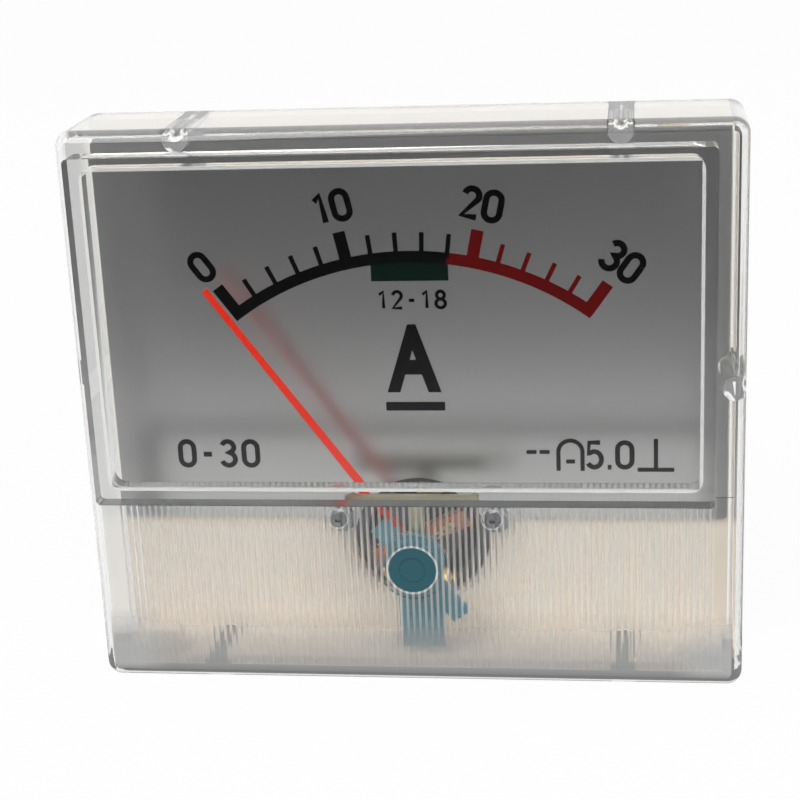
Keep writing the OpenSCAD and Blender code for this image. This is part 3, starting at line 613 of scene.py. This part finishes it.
TOP, SIDE = 1.375, 0.75
ZERO_TOP = arc(0, TOP - SIDE, SIDE, SIDE, 0, 180)
ZERO_FOOT = arc(0, SIDE - TOP, SIDE, SIDE, 180, 360)
THREE_TOP = arc(0, 0.73, 0.66, 0.645, 160, -75)
THREE_FOOT = arc(0, -0.64, SIDE, 0.735, 78, -160)
DIGITS = {
    "0": [ZERO_TOP + ZERO_FOOT + [(SIDE, TOP - SIDE)]],
    "1": [[(-0.42, 0.85), (0.22, TOP), (0.22, -TOP)]],
    "2": [arc(0, TOP - 0.7, 0.7, 0.7, 170, -25) + [(-0.72, -TOP), (SIDE, -TOP)]],
    "3": [THREE_TOP + [(-0.15, 0.09)] + THREE_FOOT],
    "5": [[(0.62, TOP), (-0.52, TOP), (-0.62, 0.12)] + arc(0, -0.5, SIDE, 0.875, 128, -150)],
    "8": [arc(0, 0.73, 0.62, 0.645, -90, 270), arc(0, -0.65, SIDE, 0.725, 90, 450)],
    "-": [[(-0.45, -0.1), (0.45, -0.1)]],
    ".": [[(-0.2, -TOP), (0.2, -TOP)]],
}
DIGIT_STEP, NARROW_STEPS = 2.15, {"1": 1.95, "-": 1.75, ".": 0.9}


# %% Words of such digits
def stroked_words(name, words, centre, height_mm, stroke_mm, angle=0.0, spread=1.0):
    """Digits of this height, centred at (x, z) on the dial and turned clockwise by angle."""
    curve = bpy.data.curves.new(name, "CURVE")
    curve.dimensions = "3D"
    curve.bevel_depth = stroke_mm / 2 * MM
    curve.bevel_resolution = 2
    curve.use_fill_caps = True
    scale = (height_mm - stroke_mm) / (2 * TOP)
    steps = [NARROW_STEPS.get(letter, DIGIT_STEP) * spread for letter in words]
    places = [sum(steps[:i]) + steps[i] / 2 - sum(steps) / 2 for i in range(len(words))]
    for letter, place in zip(words, places):
        for line in DIGITS[letter]:
            spline = curve.splines.new("POLY")
            spline.points.add(len(line) - 1)
            for point, (x, z) in zip(spline.points, line):
                point.co = ((place + x) * scale * MM, 0, z * scale * MM, 1)
    text = bpy.data.objects.new(name, curve)
    bpy.context.scene.collection.objects.link(text)
    only(text)
    bpy.ops.object.convert(target="MESH")
    text = bpy.context.object
    text.matrix_world = (
        Matrix.Translation((centre[0] * MM, INK_MIDDLE, centre[1] * MM))
        @ Matrix.Rotation(angle, 4, "Y")
        @ Matrix.Diagonal((1, INK_HEIGHT / (stroke_mm * MM), 1, 1))
    )
    bake_place(text)
    print_in_black(text)


# %% [markdown]
# The scale's numbers stand on an arc outside it and lean with it. Each is placed by its angle from
# the pivot, as the scale's own strokes are, so that it stays with its stroke.

# %% Scale numbers
NUMBER_RADIUS = 35.4
NUMBER_DEGREES = {"0": -35.5, "10": -12.0, "20": 11.8, "30": 35.4}
for words, degrees in NUMBER_DEGREES.items():
    turn = math.radians(degrees)
    spot = (NUMBER_RADIUS * math.sin(turn), PIVOT_Z + NUMBER_RADIUS * math.cos(turn))
    stroked_words("number_" + words, words, spot, 3.35, 0.62, turn)
print("the scale's numbers stand", NUMBER_RADIUS, "mm from the pivot")

# %% [markdown]
# The unit is a large upright letter in the middle. A text object has that letter ready, so one is
# used here. It is made a mesh, fitted to its height and width, given the ink's thickness and turned
# to the front.

# %% The unit
def printed_text(name, words, centre, height_mm, width_mm, bold_mm):
    """Text of this height and width, centred at (x, z) on the dial."""
    bpy.ops.object.select_all(action="DESELECT")
    bpy.ops.object.text_add()
    text = bpy.context.object
    text.data.body = words
    text.data.offset = bold_mm / height_mm * 0.7
    bpy.ops.object.convert(target="MESH")
    text.name = name
    corners = [v.co for v in text.data.vertices]
    low = Vector([min(c[i] for c in corners) for i in range(3)])
    high = Vector([max(c[i] for c in corners) for i in range(3)])
    size = high - low
    fit = Matrix.Diagonal((width_mm * MM / size.x, height_mm * MM / size.y, 1, 1))
    text.data.transform(fit @ Matrix.Translation(-(low + high) / 2))
    thicken(text, offset=1)
    place = Matrix.Translation((centre[0] * MM, INK_BACK, centre[1] * MM))
    text.matrix_world = place @ Matrix.Rotation(math.pi / 2, 4, "X")
    bake_place(text)
    print_in_black(text)


printed_text("unit", "A", (0, 3.6), height_mm=7.0, width_mm=5.4, bold_mm=0.4)

# %% [markdown]
# Smaller marks give the good range under the green field, the whole range at the lower left and the
# class at the lower right. They use the same strokes as the scale's numbers, only set wider apart.

# %% Smaller marks
stroked_words("zone_mark", "12-18", (0.1, 9.6), 2.0, 0.33, spread=1.2)
stroked_words("range_mark", "0-30", (-20.3, -6.4), 3.1, 0.52, spread=1.16)
stroked_words("class_mark", "5.0", (19.15, -6.5), 3.1, 0.5, spread=1.04)

# %% [markdown]
# The straight strokes are the line under the unit, the dashes for direct current and the sign for
# upright use. A print has no sharp corners, so each stroke is a cube pressed flat whose four short
# edges are rounded.

# %% Straight strokes
CORNER_RADIUS = 0.07 * MM


def printed_bar(name, centre, size):
    """A flat stroke with soft corners: its centre (x, z) and size (width, height) in mm."""
    bpy.ops.object.select_all(action="DESELECT")
    bpy.ops.mesh.primitive_cube_add(size=1)
    bar = bpy.context.object
    bar.name = name
    place = Matrix.Translation((centre[0] * MM, INK_MIDDLE, centre[1] * MM))
    bar.matrix_world = place @ Matrix.Diagonal((size[0] * MM, INK_HEIGHT, size[1] * MM, 1))
    bake_place(bar)
    pick_edges(bar, lambda one, other: abs(one.y - other.y) > INK_HEIGHT / 2)
    bpy.ops.mesh.bevel(offset=CORNER_RADIUS, segments=3)
    bpy.ops.object.mode_set(mode="OBJECT")
    print_in_black(bar)


printed_bar("underline", (0.05, -1.37), (5.9, 0.9))
printed_bar("dash_left", (11.45, -6.2), (1.0, 0.4))
printed_bar("dash_right", (12.75, -6.2), (1.0, 0.4))
printed_bar("upright_stem", (23.7, -6.5), (0.42, 3.4))
printed_bar("upright_foot", (23.7, -8.05), (3.6, 0.42))

# %% [markdown]
# The moving-coil sign is the arch of a horseshoe magnet with the coil's bar between its legs. An
# arch could be bent from a bar, but one ring of points, out along the outer arch and back along the
# inner one, gives its outline at once as a single face.

# %% Moving-coil sign
ARCH_STEPS = 16


def coil_sign(centre, width, height, stroke):
    outer, inner = width / 2, width / 2 - stroke
    arch_z = centre[1] + height / 2 - outer
    foot_z = centre[1] - height / 2
    turns = [math.pi * i / ARCH_STEPS for i in range(ARCH_STEPS + 1)]
    points = [(outer, foot_z)]
    points += [(outer * math.cos(a), arch_z + outer * math.sin(a)) for a in turns]
    points += [(-outer, foot_z), (-inner, foot_z)]
    points += [(-inner * math.cos(a), arch_z + inner * math.sin(a)) for a in turns]
    points += [(inner, foot_z)]
    ring = [((centre[0] + x) * MM, INK_BACK - INK_HEIGHT, z * MM) for x, z in points]
    mesh = bpy.data.meshes.new("coil_sign")
    mesh.from_pydata(ring, [], [list(range(len(ring)))])
    sign = bpy.data.objects.new("coil_sign", mesh)
    bpy.context.scene.collection.objects.link(sign)
    thicken(sign, offset=0)
    print_in_black(sign)


coil_sign((15.3, -6.48), 2.8, 3.4, 0.42)
printed_bar("coil_sign_bar", (15.3, -7.2), (0.9, 0.42))

# %% [markdown]
# ## Floor and card
# The meter stands on a plain pale floor. Between a white floor and a white room a satin dial would
# be white all over, so a card lies on the floor in front of the meter and stands up at its far end.
# In reflections the card is pale near the meter and fades to dark further out. The lower part of
# the dial mirrors the pale part and its upper part mirrors the dark end. The pane mirrors only the
# dark end, so the print stays black. To the camera the card is as white as the floor.

# %% A flat sheet of the stage
def flat_stage(name, low, high, height):
    bpy.ops.object.select_all(action="DESELECT")
    bpy.ops.mesh.primitive_plane_add(size=1)
    sheet = bpy.context.object
    sheet.name = name
    middle = (Vector(low) + Vector(high)) / 2
    sheet.matrix_world = Matrix.Translation((middle.x, middle.y, height)) @ Matrix.Diagonal(
        (high[0] - low[0], high[1] - low[1], 1, 1)
    )
    bake_place(sheet)
    return sheet


# %% Materials of the stage
PALE = rgb(0.85, 0.85, 0.85)
NEARLY_BLACK = rgb(0.03, 0.03, 0.03)
GLOW_SHARE = 0.94


def seen_by(wire, *kinds):
    """1 for the kinds of ray named, 0 for all others."""
    rays = [wire.node("ShaderNodeLightPath", out=f"Is {kind} Ray") for kind in kinds]
    return sum(rays[1:], start=rays[0]).clamped()


def glowing(wire, colour=rgb(1, 1, 1)):
    return wire.node("ShaderNodeEmission", sockets={"Color": colour, "Strength": 1.0})


def dull(wire, colour):
    return wire.node("ShaderNodeBsdfDiffuse", sockets={"Color": colour})


def pale_floor():
    material, wire = new_material("pale_floor")
    share = seen_by(wire, "Camera", "Glossy", "Transmission") * GLOW_SHARE
    finish_material(wire, mixed_shaders(wire, share, dull(wire, PALE), glowing(wire)))
    return material


# %% The fading card
CARD_REACH = 0.4
CARD_TONES = [
    (0.0, 0.22), (0.05, 0.16), (0.075, 1.0), (0.135, 1.0),
    (0.17, 0.68), (0.23, 0.28), (0.36, 0.042), (0.75, 0.003),
]


def fading_card():
    """White to the camera. In reflections its tone follows the way out from the meter."""
    material, wire = new_material("fading_card")
    ahead = axis_mm(wire, "Y") * (-MM / CARD_REACH)
    stops = [(place, rgb(tone, tone, tone)) for place, tone in CARD_TONES]
    mirrored = glowing(wire, wire.node("ShaderNodeValToRGB", {"stops": stops}, {0: ahead}))
    in_mirrors = seen_by(wire, "Glossy", "Transmission")
    others = mixed_shaders(wire, in_mirrors, dull(wire, NEARLY_BLACK), mirrored)
    direct = mixed_shaders(wire, GLOW_SHARE, dull(wire, PALE), glowing(wire))
    finish_material(wire, mixed_shaders(wire, seen_by(wire, "Camera"), others, direct))
    return material


# %% Lay them out
FLOOR_HALF, CARD_HALF, CARD_UPRIGHT = 1.5, 0.9, 0.7
CARD_START, CARD_Z = -0.0005, cad_low.z + 0.2 * MM
floor = flat_stage("floor", (-FLOOR_HALF, -FLOOR_HALF), (FLOOR_HALF, FLOOR_HALF), cad_low.z)
dress(floor, pale_floor())
card = flat_stage("fading_card", (-CARD_HALF, -CARD_HALF), (CARD_HALF, CARD_START), CARD_Z)
pick_edges(card, lambda one, other: max(one.y, other.y) < -CARD_HALF + 0.1)
bpy.ops.mesh.extrude_region_move(TRANSFORM_OT_translate={"value": (0, 0, CARD_UPRIGHT)})
bpy.ops.object.mode_set(mode="OBJECT")
dress(card, fading_card())
print("the card reaches", CARD_HALF, "m out and", CARD_UPRIGHT, "m up")

# %% [markdown]
# ## World and lamps
# The light is that of a plain studio. A world of one strength could be both the light and the white
# background, but it would light the meter too much. So the world is white where it is seen, by
# itself or in metal and glass, and weaker as a light. Two large square lamps, one at the upper left
# and a weaker one at the right, give the shapes their shading.

# %% World
WORLD_LIGHT, WORLD_WHITE = 0.7, 1.0
world = bpy.data.worlds.new("studio")
world.use_nodes = True
bpy.context.scene.world = world
world.node_tree.nodes.clear()
sky = Wire(world.node_tree)
seen = seen_by(sky, "Camera", "Glossy", "Transmission")
backgrounds = [
    sky.node("ShaderNodeBackground", sockets={"Color": rgb(1, 1, 1), "Strength": strength})
    for strength in (WORLD_LIGHT, WORLD_WHITE)
]
sky.node("ShaderNodeOutputWorld", sockets={"Surface": mixed_shaders(sky, seen, *backgrounds)})

# %% Lamps
LAMP_SIZE = 0.5


def softbox(name, place, watts):
    """A square lamp that faces the middle of the meter."""
    data = bpy.data.lights.new(name, "AREA")
    data.size = LAMP_SIZE
    data.energy = watts
    lamp = bpy.data.objects.new(name, data)
    lamp.location = place
    lamp.rotation_euler = (-Vector(place)).to_track_quat("-Z", "Y").to_euler()
    bpy.context.scene.collection.objects.link(lamp)


softbox("key_lamp", (-0.35, -0.52, 0.7), 3.9)
softbox("fill_lamp", (0.55, -0.55, 0.35), 2.5)

# %% [markdown]
# ## The end
# Colours are shown as they are written, so the view transform is Standard.

# %% Finish
bpy.context.scene.view_settings.view_transform = "Standard"
